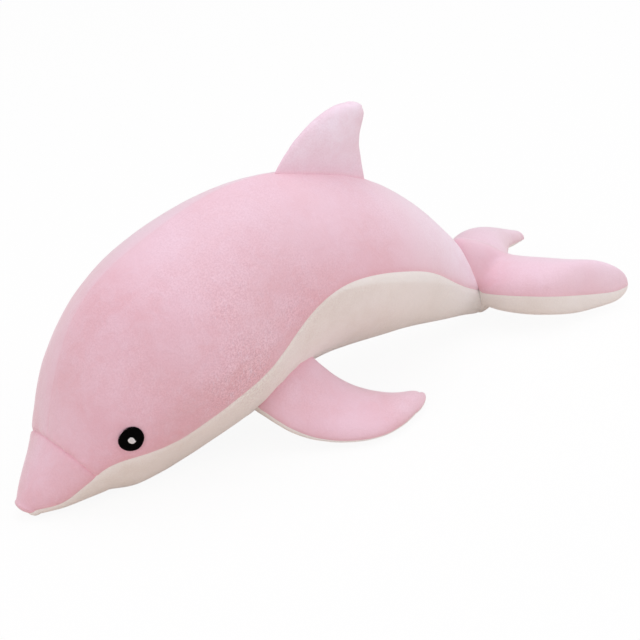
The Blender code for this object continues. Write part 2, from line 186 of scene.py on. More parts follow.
# The hollow round each eye, where its stitches hold the fabric down.
EYE_DIP = 0.8
EYE_DIP_WIDTH = 3.5

# The bag that the filling swells: pressure, the cloth's mass and stiffness, how much it grows,
# for how many frames, every how many rows a point is kept, how often its moves are smoothed,
# how near a seam or the floor a point is held still, and the most that one moves.
FILLING_PRESSURE = 4.0
CLOTH_MASS = 0.05
CLOTH_STIFFNESS = 0.5
CLOTH_GROWTH = 0.004
CLOTH_FRAMES = 20
CLOTH_STEP = 4
MOVE_SMOOTHING = 5
SEWN_REACH = 0.2
FLOOR_REACH = 1.0
SWELL_LIMIT = 2.0
# How far the body's skins are set in before it, and how far from a seam that is reached.
FILLING_ROOM = 1.3
FILLING_ROOM_FADE = 30

# How pale the pile is made on the body (0 to 1), mostly painted light: on its top and beak, over
# its shoulders and towards the tail, where the light falls; raised pile at the seam along the
# back;
# a painted rim of light beyond it, on the right side only; and how much it varies.
PAINTED_LIGHT_ON_TOP = 0.20
PAINTED_LIGHT_ON_SHOULDERS = 0.16
PAINTED_LIGHT_AT_TAIL = 0.85
PILE_AT_BACK_SEAM = 0.05
PAINTED_RIM_LIGHT_BEYOND_BACK = 0.12
PILE_CHANGE = (0.08, 60, 9)
BACK_SEAM_REACH = 6
BEYOND_BACK_START = 4
BEYOND_BACK_REACH = 26
# Where those parts begin and end: heights as a share of the body's, places along x.
BODY_HEIGHT = 260
TOP_HEIGHTS = (0.2, 0.6)
SHOULDER_HEIGHTS = (0.5, 1.0)
BEAK_PLACES = (25, 80)
SHOULDER_PLACES = (60, 220)
TAIL_PLACES = (380, 560)
# Ruffled pile: how much anywhere, how much more in the middle of each side, where and how wide.
RUFFLE = 0.22
SIDE_RUFFLE = 0.9
SIDE_RUFFLE_PLACE = (215, 100, 120)
SIDE_RUFFLE_REACH = 75
FIN_RUFFLE = 0.2
FLUKE_RUFFLE = 0.14
# Painted light that pales the pile of each fin at its root and tip, of the flukes likewise, and
# how it varies.
FIN_PAINTED_LIGHT = (0.80, 1.1)
FLIPPER_PAINTED_LIGHT = (0.26, 0.36)
FIN_PILE_CHANGE = (0.12, 30)
FLUKE_PAINTED_LIGHT = (0.28, 0.68)
FLUKE_LENGTH = 160
FLUKE_PILE_CHANGE = (0.10, 34, 36)

# How far a seam's darker shade is held back from the tail seam, back seam and fin edges.
TAIL_SHADE = 6
BACK_SHADE = 4
EDGE_SHADE = 3
# The number that each fin's gathers and lumps start from.
FIN_PATTERN = 11
FLIPPER_PATTERNS = (17, 23)

# Stitches of the eyes: radius of the threads, their spacing, how deep and how raggedly they end,
# and where the last stray stitches of the highlight lie.
THREAD_SIDES = 6
THREAD_STEPS = 14
THREAD_DIVE = 0.5
THREAD_RAGGEDNESS = 0.35
BLACK_THREAD = 0.33
BLACK_SPACING = 0.5
WHITE_THREAD = 0.3
WHITE_SPACING = 0.45
WHITE_SLANT = 0.15
WHITE_TAILS = (0.9, 1.35, 1.8)

# Inputs of the pile: its colour lying one way, lying the other way, brushed up, the pale colour of
# painted light, and the darker colour of a seam line with painted seam shade, then how strong its
# patches, wisps, seam line and painted shade, and grain are.
PILE_COLOURS = ("Pile Colour", "Laid Colour", "Raised Colour", "Pale Pile And Painted Light Colour", "Seam Line And Painted Shade Colour")
PILE_STRENGTHS = ("Patch Strength", "Wisp Strength", "Seam Line And Painted Shade Strength", "Grain Strength")

# The photograph's view: degrees round the toy, down and rolled, then mm. The lights' aim and
# the share of the floor's white that is its own.
CAMERA_TURNS = (-33.6, 26.8, 5.9)
CAMERA_DISTANCE = 2500
CAMERA_TARGET = (362, 0, 77.5)
PIXELS_PER_MM = 0.951
PICTURE_WIDTH = 640
SENSOR_WIDTH = 36
LIGHT_TARGET = (0, 0, 0.1)
FLOOR_GLOW = 0.92

# How finely the skins are divided, and how much closer their points lie near a seam: the
# places of a fin's rows from root to tip and the shares of its columns across it.
TIP_ROWS = 12
BEAK_ROWS = 26
BODY_ROWS = 230
SIDE_COLUMNS = 78
BELLY_COLUMNS = 70
SEAM_CROWDING = 0.7
LOBE_ROWS = 76
LOBE_COLUMNS = 44
LOBE_PLACES = np.sin(np.linspace(0, math.pi / 2, LOBE_ROWS + 1))
LOBE_SHARES = (1 - np.cos(np.linspace(0, math.pi, LOBE_COLUMNS + 1))) / 2
NECK_ROWS = 24
ROOT_TRIES = 22


def spline(points, at):
    """Natural cubic spline through the points, read at the given places (0, 1, 2 ...)."""
    points = np.array(points, float)
    at = np.atleast_1d(np.array(at, float))
    count = len(points)
    system = np.eye(count)
    right = np.zeros_like(points)
    for i in range(1, count - 1):
        system[i, i - 1:i + 2] = (1, 4, 1)
        right[i] = 6 * (points[i + 1] - 2 * points[i] + points[i - 1])
    bend = np.linalg.solve(system, right)
    left = np.clip(np.floor(at).astype(int), 0, count - 2)
    b = (at - left)[..., None]
    a = 1 - b
    low, high = points[left], points[left + 1]
    return a * low + b * high + ((a ** 3 - a) * bend[left] + (b ** 3 - b) * bend[left + 1]) / 6


def ring_points(sections, angles):
    """Points of body sections at angles from the top, positive towards the left side."""
    back_x, back_z, belly_x, belly_z, half_width, peak, widest = (
        sections[:, k, None] for k in range(7)
    )
    turn = np.abs(angles)
    quarter = math.pi / 2
    slope = np.where(turn < quarter, turn, math.pi - turn) / quarter
    across = half_width * ((1 - peak) * np.sin(turn) + peak * slope)
    upper = widest + (1 - widest) * ((1 - peak) * np.cos(turn) + peak * (1 - turn / quarter))
    height = np.where(turn < quarter, upper, widest * (1 + np.cos(turn)))
    x = belly_x + (back_x - belly_x) * height
    z = belly_z + (back_z - belly_z) * height
    return np.stack([x, -np.sign(angles) * across, z], axis=2)


def crowded(count):
    """Shares from 0 to 1 that lie closer together towards both ends, where the seams are."""
    share = np.linspace(0, 1, count + 1)
    return share - SEAM_CROWDING * np.sin(2 * math.pi * share) / (2 * math.pi)


def ring_angles(seams):
    """Angles once round each section: left side, belly, right side and the top again."""
    side = crowded(SIDE_COLUMNS)
    under = crowded(BELLY_COLUMNS)[1:-1]
    seams = seams[:, None]
    belly = seams + (2 * math.pi - 2 * seams) * under
    belly = np.where(belly > math.pi, belly - 2 * math.pi, belly)
    return np.concatenate([seams * side, belly, -seams * side[::-1]], axis=1)


def body_surface():
    """Points and outward directions of the whole body, from the beak tip to the tail seam."""
    def rings(table, at):
        sections = spline(table, at)
        return ring_points(sections, ring_angles(np.radians(sections[:, 7])))

    beak = rings(BEAK[::-1], np.linspace(0, len(BEAK) - 1, BEAK_ROWS + 1))
    body = rings(BODY, crowded(BODY_ROWS) * (len(BODY) - 1))
    front = beak[0]
    low, high = np.array(BEAK[-1][2:4]), np.array(BEAK[-1][0:2])
    middle = low + (high - low) * BEAK_TIP_HEIGHT
    centre = np.array((middle[0], 0, middle[1]))
    behind = (np.array(BEAK[-2][0:2]) + np.array(BEAK[-2][2:4])) / 2
    forward = (high + low) / 2 - behind
    forward = np.array((forward[0], 0, forward[1])) / np.linalg.norm(forward)
    turns = np.linspace(math.pi / 2, 0, TIP_ROWS + 1)[:-1, None, None]
    narrowing = np.cos(turns) ** BEAK_TIP_FULLNESS
    tip = centre + (front - centre) * narrowing + forward * BEAK_TIP_LENGTH * np.sin(turns)
    grid = np.concatenate([tip, beak[:-1], body])
    out = directions(grid, forward)
    tail = np.array((BODY[-1][3] - BODY[-1][1], 0, BODY[-1][0] - BODY[-1][2]))
    tail /= np.linalg.norm(tail)
    out[-1] -= (out[-1] @ tail)[:, None] * tail
    out[-1] /= np.linalg.norm(out[-1], axis=1, keepdims=True)
    return grid, out


def directions(grid, pole):
    """Unit directions outwards from a grid of closed rings, the first of which is a point."""
    ring = grid[:, :-1]
    around = np.roll(ring, -1, axis=1) - np.roll(ring, 1, axis=1)
    around = np.concatenate([around, around[:, :1]], axis=1)
    out = np.cross(around, np.gradient(grid, axis=0))
    out[0] = pole
    length = np.linalg.norm(out, axis=2, keepdims=True)
    return out / np.maximum(length, 1e-9)


def waves(grid, height, size, pattern):
    """Soft random heights, up to the given one, that change over about the given size in mm."""
    shift = Vector((pattern * 7.31, pattern * 3.17, pattern * 1.93))
    flat = [noise.noise(Vector(point) + shift) for point in grid.reshape(-1, 3) / size]
    return height * np.array(flat).reshape(grid.shape[:-1])


def bell(distance, reach):
    """1 where the distance is 0, falling softly over the reach."""
    return np.exp(-(distance / reach) ** 2)


def edge_distances(grid):
    """Distance in mm over the fabric from the first row, last row, first column, last column."""
    def travelled(lines):
        steps = np.linalg.norm(np.diff(lines, axis=0), axis=2)
        return np.concatenate([np.zeros((1, lines.shape[1])), np.cumsum(steps, axis=0)])

    rows = travelled(grid)
    columns = travelled(grid.transpose(1, 0, 2)).T
    return rows, rows[-1:] - rows, columns, columns[:, -1:] - columns


def puckers(grid, distance, height, size, reach, pattern):
    """Small gathers beside a seam that fade out over their reach."""
    return waves(grid, height, size, pattern) * bell(distance, reach)


def seam_roll(grid, distance, seam):
    """How far fabric lies in beside a seam: softly at first, steeper at the stitches, gathered."""
    depth, width, *gathers = seam
    share = np.clip(1 - distance / width, 0, 1)
    return depth * share ** 2.4 - puckers(grid, distance, *gathers)


def smooth_rows(grid, rounds):
    """Relax a grid of points without moving its outline."""
    grid = grid.copy()
    for _ in range(rounds):
        middle = (grid[:-2, 1:-1] + grid[2:, 1:-1] + grid[1:-1, :-2] + grid[1:-1, 2:]) / 4
        grid[1:-1, 1:-1] += (middle - grid[1:-1, 1:-1]) * 0.8
    return grid


def rounded(front, rear, half, beyond):
    """The two edges of a fin drawn together where beyond runs from 0 to 1, at its tip."""
    beyond = np.clip(beyond, 0, 1)[..., None]
    middle = (front + rear) / 2
    reach = half * np.sqrt(1 - beyond ** 2)
    tip = beyond > 0
    return np.where(tip, middle + reach, front), np.where(tip, middle - reach, rear)


def outline(edges, place):
    """Leading and trailing edge of a fin at places from root to tip, with the tip rounded off."""
    leading, trailing = edges
    last = len(leading) - 1
    front, rear = spline(leading, place * last), spline(trailing, place * last)
    start = 1 - TIP_ROUNDING
    half = (spline(leading, start * last) - spline(trailing, start * last)) / 2
    return rounded(front, rear, half, (place - start) / TIP_ROUNDING)


def crown(share):
    """How full a fin is at shares from 0 at its leading edge to 1 at its trailing edge."""
    return np.sqrt(np.maximum(4 * share * (1 - share), 0))


def lobe_point(edges, heights, up, place, share):
    """Points of one skin of a fin at places from root to tip and shares across it."""
    front, rear = outline(edges, place)
    closing = np.sqrt(np.maximum(1 - place ** TIP_BLUNTNESS, 0))
    rise = spline(np.array(heights, float)[:, None], place * (len(heights) - 1))[..., 0] * closing
    bow = rise * crown(share)
    return front + (rear - front) * share[..., None] + np.array(up, float) * bow[..., None]


def depth_in_body(tree, points):
    """How far each point lies inside the body, negative outside."""
    depths = []
    for point in points:
        spot, out, _, _ = tree.find_nearest(Vector(point))
        depths.append(-(Vector(point) - spot).dot(out))
    return np.array(depths)


def lobe_surfaces(edges, heights, up, tree):
    """Upper and lower skin of a fin or flipper, from its seam on the body to its tip."""
    share = LOBE_SHARES
    skins = []
    for sign, rises in zip((1, -1), heights):
        bow = np.array(up, float) * sign
        low, high = np.zeros_like(share), np.full_like(share, 0.8)
        for _ in range(ROOT_TRIES):
            middle = (low + high) / 2
            depth = depth_in_body(tree, lobe_point(edges, rises, bow, middle, share))
            inside = depth > ROOT_TUCK
            low, high = np.where(inside, middle, low), np.where(inside, high, middle)
        place = low + (1 - low) * LOBE_PLACES[:, None]
        skins.append(lobe_point(edges, rises, bow, place, np.broadcast_to(share, place.shape)))
    return skins


def fluke_half(top_rise, bottom_drop):
    """Top and underside of the left half of the flukes, from the middle to the tip."""
    section = np.array(BODY[-1])
    seam = math.radians(section[7])
    last = len(FLUKE_LEADING) - 1
    place = LOBE_PLACES[1:]
    neck = np.linspace(0, FLUKE_NECK_SHARE, NECK_ROWS + 1)
    rear_place = FLUKE_NECK_SHARE + (1 - FLUKE_NECK_SHARE) * place
    front, rear = spline(FLUKE_LEADING, place * last), spline(FLUKE_TRAILING, rear_place * last)
    first = np.searchsorted(place, 1 - TIP_ROUNDING)
    half = (front[first] - rear[first]) / 2
    front, rear = rounded(front, rear, half, (place - place[first]) / (1 - place[first]))
    rear = np.concatenate([spline(FLUKE_TRAILING, neck * last), rear])
    closing = np.sqrt(np.maximum(1 - (place / place[-1]) ** TIP_BLUNTNESS, 0))
    share = LOBE_SHARES
    blend = np.linspace(0, 1, NECK_ROWS + 1)
    surfaces = []
    for begin, heights, middle, up, undercut, swell in (
        (0, top_rise, FLUKE_MIDDLE_RISE, 1, 0.0, NECK_SWELL[0]),
        (math.pi, bottom_drop, FLUKE_MIDDLE_DROP, -1, FLUKE_UNDERCUT, NECK_SWELL[1]),
    ):
        root = ring_points(section[None], np.linspace(begin, seam, NECK_ROWS + 1)[None])[0]
        heights = np.array(heights, float)[:, None]
        outer = spline(heights, place * last)[:, 0] * closing
        rise = np.concatenate([middle + (heights[0, 0] - middle) * blend ** swell, outer])
        edge = np.concatenate([root, front])
        skin = edge[:, None] + (rear - edge)[:, None] * share[:, None]
        skin[..., 2] += up * rise[:, None] * crown(share) * (1 - undercut * share)
        surfaces.append(skin)
    return surfaces


def fluke_surfaces():
    """Top and underside of the tail flukes, from the left tip over the neck to the right tip."""
    neck_width = BODY[-1][4]
    span = abs(FLUKE_LEADING[-1][1])
    surfaces = []
    left_half = fluke_half(FLUKE_TOP_RISE, FLUKE_BOTTOM_DROP)
    right_half = fluke_half(FLUKE_RIGHT_TOP_RISE, FLUKE_RIGHT_BOTTOM_DROP)
    for left, right in zip(left_half, right_half):
        right = right[1:] * (1, -1, 1)
        reach = np.clip((right[..., 1:2] - neck_width) / (span - neck_width), 0, 1)
        right = right + reach ** FLUKE_SETTLE_BEND * np.array(FLUKE_RIGHT_SETTLE, float)
        surfaces.append(np.concatenate([left[::-1], right]))
    return surfaces


def grid_corners(grid):
    """The four corner numbers of each face of a grid of points."""
    index = np.arange(grid.shape[0] * grid.shape[1]).reshape(grid.shape[:2])
    return [index[:-1, :-1], index[:-1, 1:], index[1:, 1:], index[1:, :-1]]


def add_piece(name, mesh):
    """A mesh as a piece of the toy, which rides on its one body."""
    piece = bpy.data.objects.new(name, mesh)
    bpy.context.scene.collection.objects.link(piece)
    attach(piece, "root")
    return piece


def new_piece(name, grid, inside, fields):
    """Mesh of a grid of points in mm that faces away from the points inside it.

    The fields are kept on its points: how close to a seam, which sets the seam line and painted
    seam shade, and how pale the pile is made by painted light.
    """
    corners = grid_corners(grid)
    facing = np.cross(grid[:-1, 1:] - grid[:-1, :-1], grid[1:, :-1] - grid[:-1, :-1])
    if np.sum(facing * (grid - inside)[:-1, :-1]) < 0:
        corners.reverse()
    faces = np.stack(corners, axis=2).reshape(-1, 4)
    mesh = bpy.data.meshes.new(name)
    placed = (grid - (MIDDLE, 0, 0)) * MM
    mesh.from_pydata(placed.reshape(-1, 3).tolist(), [], faces.tolist())
    for label, values in fields.items():
        layer = mesh.attributes.new(label, "FLOAT", "POINT")
        layer.data.foreach_set("value", np.ascontiguousarray(values, dtype=float).reshape(-1))
    work = bmesh.new()
    work.from_mesh(mesh)
    bmesh.ops.remove_doubles(work, verts=work.verts, dist=0.00002)
    work.to_mesh(mesh)
    work.free()
    mesh.shade_smooth()
    return add_piece(name, mesh)


def evaluated(piece):
    """A piece as its modifiers shape it."""
    return piece.evaluated_get(bpy.context.evaluated_depsgraph_get())


def thicken(piece):
    """Give a skin the thickness of its fabric, inwards, with crisp cut edges."""
    fabric = piece.modifiers.new("fabric_thickness", "SOLIDIFY")
    fabric.thickness = FABRIC_THICKNESS * MM
    fabric.offset = -1
    fabric.use_even_offset = False
    shaped = bpy.data.meshes.new_from_object(evaluated(piece))
    piece.modifiers.clear()
    piece.data = shaped
    shaped.set_sharp_from_angle(angle=math.radians(CUT_EDGE_ANGLE))


def rest_on_floor(grid):
    """Press fabric flat where the toy lies on the floor."""
    grid = grid.copy()
    grid[..., 2] = np.maximum(grid[..., 2], FLOOR_CLEARANCE)
    return grid


def ramp(value, low, high):
    """Smooth step from 0 to 1 between two values."""
    share = np.clip((value - low) / (high - low), 0, 1)
    return share * share * (3 - 2 * share)


def seam_shade(*distances):
    """How close a point is to any of its seams, which sets the seam line's own darker colour and
    painted seam shade: 1 at the stitches, fading over some 14 mm.
    """
    nearest = np.minimum.reduce([np.broadcast_to(d, distances[0].shape) for d in distances])
    return 0.6 * np.exp(-nearest / 9.0) + 0.4 * np.exp(-nearest / 2.0)


def nearest_points(points, grid):
    """For each grid point, the number of the nearest of some points and its distance in mm."""
    tree = KDTree(len(points))
    for number, point in enumerate(points):
        tree.insert(Vector(point), number)
    tree.balance()
    found = [tree.find(Vector(point))[1:] for point in grid.reshape(-1, 3)]
    numbers, distances = zip(*found)
    return np.array(numbers).reshape(grid.shape[:-1]), np.array(distances).reshape(grid.shape[:-1])


def away_from(points, grid):
    """Distance in mm from each grid point to the nearest of some points."""
    return nearest_points(points, grid)[1]


def thinned(count, kept):
    """Every few rows or columns of a grid, with the ones that must be kept."""
    return np.array(sorted({*range(0, count, CLOTH_STEP), count - 1, *kept}))


def read_points(mesh):
    """The points of a mesh in mm."""
    values = np.empty(len(mesh.vertices) * 3)
    mesh.vertices.foreach_get("co", values)
    return values.reshape(-1, 3) / MM


def all_rows(moves, rows, count):
    """Moves known at some rows of a grid, carried smoothly to all of them."""
    at = np.interp(np.arange(count), rows, np.arange(len(rows)))
    return spline(moves.reshape(len(rows), -1), at).reshape(count, *moves.shape[1:])


def filled(grids, sewn, kept=((), ())):
    """The skins of one bag after its filling has swollen them, worked out with Blender's cloth.

    A copy with fewer points is blown up by pressure while its seams, and what lies on the floor,
    stay where they are. No point moves further than SWELL_LIMIT. The kept rows and columns are
    seams that the copy must have.
    """
    picks = [(thinned(grid.shape[0], kept[0]), thinned(grid.shape[1], kept[1])) for grid in grids]
    coarse = [grid[rows][:, columns] for grid, (rows, columns) in zip(grids, picks)]
    work = bmesh.new()
    for part in coarse:
        lines = [[work.verts.new(point * MM) for point in line] for line in part]
        for line, following in zip(lines, lines[1:]):
            for i in range(len(line) - 1):
                work.faces.new((line[i], line[i + 1], following[i + 1], following[i]))
    bmesh.ops.remove_doubles(work, verts=work.verts, dist=0.0001)
    bmesh.ops.holes_fill(work, edges=work.edges, sides=0)
    bmesh.ops.recalc_face_normals(work, faces=work.faces)
    mesh = bpy.data.meshes.new("bag")
    work.to_mesh(mesh)
    work.free()
    bag = bpy.data.objects.new("bag", mesh)
    scene = bpy.context.scene
    scene.collection.objects.link(bag)
    start = read_points(mesh)
    held = (away_from(sewn, start) < SEWN_REACH) | (start[:, 2] < FLOOR_REACH)
    bag.vertex_groups.new(name="sewn").add(np.flatnonzero(held).tolist(), 1.0, "REPLACE")
    cloth = bag.modifiers.new("filling", "CLOTH")
    cloth.collision_settings.use_collision = False
    fabric = cloth.settings
    fabric.use_pressure = True
    fabric.uniform_pressure_force = FILLING_PRESSURE
    fabric.mass = CLOTH_MASS
    fabric.tension_stiffness = CLOTH_STIFFNESS
    fabric.compression_stiffness = CLOTH_STIFFNESS
    fabric.shear_stiffness = CLOTH_STIFFNESS
    fabric.bending_stiffness = CLOTH_STIFFNESS
    fabric.shrink_min = -CLOTH_GROWTH
    fabric.vertex_group_mass = "sewn"
    fabric.effector_weights.gravity = 0.0
    for frame_number in range(1, CLOTH_FRAMES + 1):
        scene.frame_set(frame_number)
    move = read_points(evaluated(bag).data) - start
    length = np.maximum(np.linalg.norm(move, axis=1, keepdims=True), 1e-9)
    move *= SWELL_LIMIT * np.tanh(length / SWELL_LIMIT) / length
    bpy.data.objects.remove(bag)
    bpy.data.meshes.remove(mesh)
    scene.frame_set(1)
    results = []
    for grid, part, (rows, columns) in zip(grids, coarse, picks):
        moves = smooth_rows(move[nearest_points(start, part)[0]], MOVE_SMOOTHING)
        moves = all_rows(moves, rows, grid.shape[0]).transpose(1, 0, 2)
        results.append(grid + all_rows(moves, columns, grid.shape[1]).transpose(1, 0, 2))
    return results


def eye_place(side):
    """Where an eye's stitches lie on the head: a function of x and y in mm, and its middle."""
    def at(station, angle):
        section = spline(BODY, [station])
        return ring_points(section, np.array([[angle]]))[0, 0]

    angle = math.radians(EYE_ANGLE)
    step = 0.01
    centre = at(EYE_STATION, angle)
    per_station = (at(EYE_STATION + step, angle) - at(EYE_STATION - step, angle)) / (2 * step)
    per_angle = (at(EYE_STATION, angle + step) - at(EYE_STATION, angle - step)) / (2 * step)
    out = np.cross(per_angle, per_station)
    out /= np.linalg.norm(out)
    out *= -math.copysign(1, out[1])
    along = per_station / np.linalg.norm(per_station)
    across = np.cross(out, along)
    frame = np.array([per_station, per_angle, out]).T

    def place(x, y):
        share = np.linalg.solve(frame, along * x + across * y)
        point = at(EYE_STATION + share[0], angle + share[1])
        return point * (1, side, 1), out * (1, side, 1)

    return place, centre * (1, side, 1)


def body_pile_and_painted_light(grid, back):
    """How pale the pile is made over the body by painted light and raised pile, given the distance
    from the seam on its back.
    """
    along, height = grid[..., 0], grid[..., 2] / BODY_HEIGHT
    # Painted light on the top and beak, over the shoulders and towards the tail.
    pile_and_light = PAINTED_LIGHT_ON_TOP * np.maximum(ramp(height, *TOP_HEIGHTS), 1 - ramp(along, *BEAK_PLACES))
    shoulders = ramp(height, *SHOULDER_HEIGHTS) * ramp(along, *SHOULDER_PLACES)
    pile_and_light += PAINTED_LIGHT_ON_SHOULDERS * shoulders + PAINTED_LIGHT_AT_TAIL * ramp(along, *TAIL_PLACES)
    # A painted rim of light beyond the back seam, on the right side only.
    beyond = bell(back, BEYOND_BACK_REACH) * np.clip(grid[..., 1] / BEYOND_BACK_START, 0, 1)
    pile_and_light += PILE_AT_BACK_SEAM * bell(back, BACK_SEAM_REACH) + PAINTED_RIM_LIGHT_BEYOND_BACK * beyond
    return np.clip(pile_and_light + waves(grid, *PILE_CHANGE), 0, 1)


def make_body(grid, out, roots):
    """The three body panels and the beak panel, rolled in at their seams and softly uneven."""
    beak_end = TIP_ROWS + BEAK_ROWS
    width = grid.shape[1]
    left_seam, right_seam = SIDE_COLUMNS, width - 1 - SIDE_COLUMNS
    over = [*range(right_seam, width), *range(1, left_seam + 1)]
    back = away_from(grid[beak_end:, 0], grid)
    sides = away_from(np.concatenate([grid[:, left_seam], grid[:, right_seam]]), grid)
    beak = away_from(grid[beak_end, over], grid)
    tail = away_from(grid[-1], grid)
    gaps = [away_from(root, grid) for root in roots]
    depth = seam_roll(grid, back, BACK_SEAM) + seam_roll(grid, sides, SIDE_SEAM)
    depth += seam_roll(grid, beak, BEAK_SEAM) + seam_roll(grid, tail, TAIL_SEAM)
    lumps = waves(grid, *BODY_LUMPS) + waves(grid, *BODY_RIPPLES)
    depth -= lumps * np.clip(tail / LUMP_FADE, 0, 1)
    jaw = np.clip((JAW_END - grid[..., 0]) / JAW_FADE, 0, 1) * np.exp(-grid[..., 2] / JAW_HEIGHT)
    depth -= jaw * waves(grid, *JAW_WRINKLES)
    for gap in gaps:
        depth += ROOT_DIP * bell(gap, ROOT_DIP_WIDTH) - puckers(grid, gap, *BODY_ROOT_GATHERS)
    for side in (1, -1):
        gap = np.linalg.norm(grid - eye_place(side)[1], axis=2)
        depth += EYE_DIP * bell(gap - EYE_DIAMETER / 2, EYE_DIP_WIDTH)
    from_seams = np.minimum.reduce([tail, sides, beak, back])
    depth += FILLING_ROOM * ramp(from_seams, 0, FILLING_ROOM_FADE)
    skin = rest_on_floor(grid - out * depth[..., None])
    seams = [skin[:, 0], skin[:, left_seam], skin[:, right_seam], skin[beak_end], skin[-1]]
    kept = ((beak_end,), (left_seam, right_seam))
    skin = filled([skin], np.concatenate(seams), kept)[0]
    from_side = np.linalg.norm(np.abs(grid) - SIDE_RUFFLE_PLACE, axis=2)
    fields = {
        "seam_line_and_painted_shade": seam_shade(sides, beak, tail + TAIL_SHADE, back + BACK_SHADE, *gaps),
        "pile_and_painted_light": body_pile_and_painted_light(grid, back),
        "pile_ruffle": RUFFLE + SIDE_RUFFLE * bell(from_side, SIDE_RUFFLE_REACH),
    }
    inside = np.broadcast_to(grid[:, :-1].mean(axis=1, keepdims=True), grid.shape)
    whole, behind = slice(0, None), slice(beak_end, None)
    left, right = slice(0, left_seam + 1), slice(right_seam, None)
    below = slice(left_seam, right_seam + 1)
    for name, node, rows, columns, slot in (
        ("side_skin_left", "side_panel_left", behind, left, "pink_plush"),
        ("side_skin_right", "side_panel_right", behind, right, "pink_plush"),
        ("beak_skin", "beak_top_panel", slice(0, beak_end + 1), over, "pink_plush"),
        ("belly_skin", "belly_panel", whole, below, "white_plush"),
    ):
        finish_skin(
            name, skin[rows][:, columns], inside[rows][:, columns], slot, node,
            {label: field[rows][:, columns] for label, field in fields.items()},
        )


def finish_skin(name, grid, inside, slot, node, fields):
    """A skin of the toy in place of its CAD panel, thickened and given its fabric."""
    piece = new_piece(name, rest_on_floor(grid), inside, fields)
    thicken(piece)
    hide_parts(node)
    piece.data.materials.append(finishes[slot])


def drawn_in(grid, middle, depth):
    """How a fin's skin moves in towards its middle, by part of the way there at most."""
    inwards = middle - grid
    distance = np.linalg.norm(inwards, axis=2, keepdims=True)
    depth = np.minimum(depth[..., None], EDGE_ROOM * distance)
    return inwards / np.maximum(distance, 0.5) * depth


def middle_between(skins):
    """The line down the middle of a fin between its two skins, for each row of points."""
    middle = (skins[0] + skins[1]) / 2
    return (middle[:, :1] + middle[:, -1:]) / 2


def close_tip(skin, *ends):
    """Draw the last row of a fin's skin together in the middle of the row before it."""
    for tip, before in ends:
        skin[tip] = skin[before].mean(axis=0)
    return skin


def flared(skin, bow, tree):
    """Spread the foot of a fin a little over the body, as the pile closes over its seam."""
    share = np.linspace(0, 1, skin.shape[1])
    foot = []
    for point, width in zip(skin[0], crown(share)):
        spot, out, _, _ = tree.find_nearest(Vector(point + bow * ROOT_FLARE * width))
        foot.append(np.array(spot - out * ROOT_TUCK))
    fade = np.clip(1 - edge_distances(skin)[0] / (2.5 * ROOT_FLARE), 0, 1) ** 2
    return skin + (np.array(foot) - skin[0]) * fade[..., None]


def make_lobe(names, nodes, edges, heights, up, slots, tree, side, pattern, pile):
    """A stuffed fin or flipper of two skins; returns its root line on the body."""
    skins = lobe_surfaces(edges, heights, up, tree)
    root = np.concatenate([skin[0] for skin in skins]) * (1, side, 1)
    middle = middle_between(skins)
    fields = []
    for k, sign in enumerate((1, -1)):
        bow = np.array(up, float) * sign
        skin = flared(skins[k], bow, tree)
        gap, _, leading, trailing = edge_distances(skin)
        edge = np.minimum(leading, trailing)
        from_root, from_edge = FIN_LUMP_FADE
        fullness = np.minimum(gap / from_root, 1) * np.clip(edge / from_edge, 0, 1)
        depth = seam_roll(skin, edge, (*FIN_SEAM, pattern))
        depth -= puckers(skin, gap, *ROOT_GATHERS, pattern + 1)
        skin = skin + drawn_in(skin, middle, depth)
        skin = skin + bow * (fullness * waves(skin, *FIN_LUMPS, pattern + 2 + k))[..., None]
        skins[k] = close_tip(rest_on_floor(skin) * (1, side, 1), (-1, -2))
        # Painted light, paler towards the tip.
        at_root, at_tip = pile
        pile_and_light = at_root + (at_tip - at_root) * gap / gap.max()
        fields.append({
            "seam_line_and_painted_shade": seam_shade(edge + EDGE_SHADE, gap),
            "pile_and_painted_light": pile_and_light + waves(skin, *FIN_PILE_CHANGE, pattern + 5),
            "pile_ruffle": np.full(edge.shape, FIN_RUFFLE),
        })
    sewn = [line for skin in skins for line in (skin[0], skin[:, 0], skin[:, -1])]
    skins = filled(skins, np.concatenate(sewn))
    for name, skin, slot, node, field in zip(names, skins, slots, nodes, fields):
        finish_skin(name, skin, middle * (1, side, 1), slot, node, field)
    return root


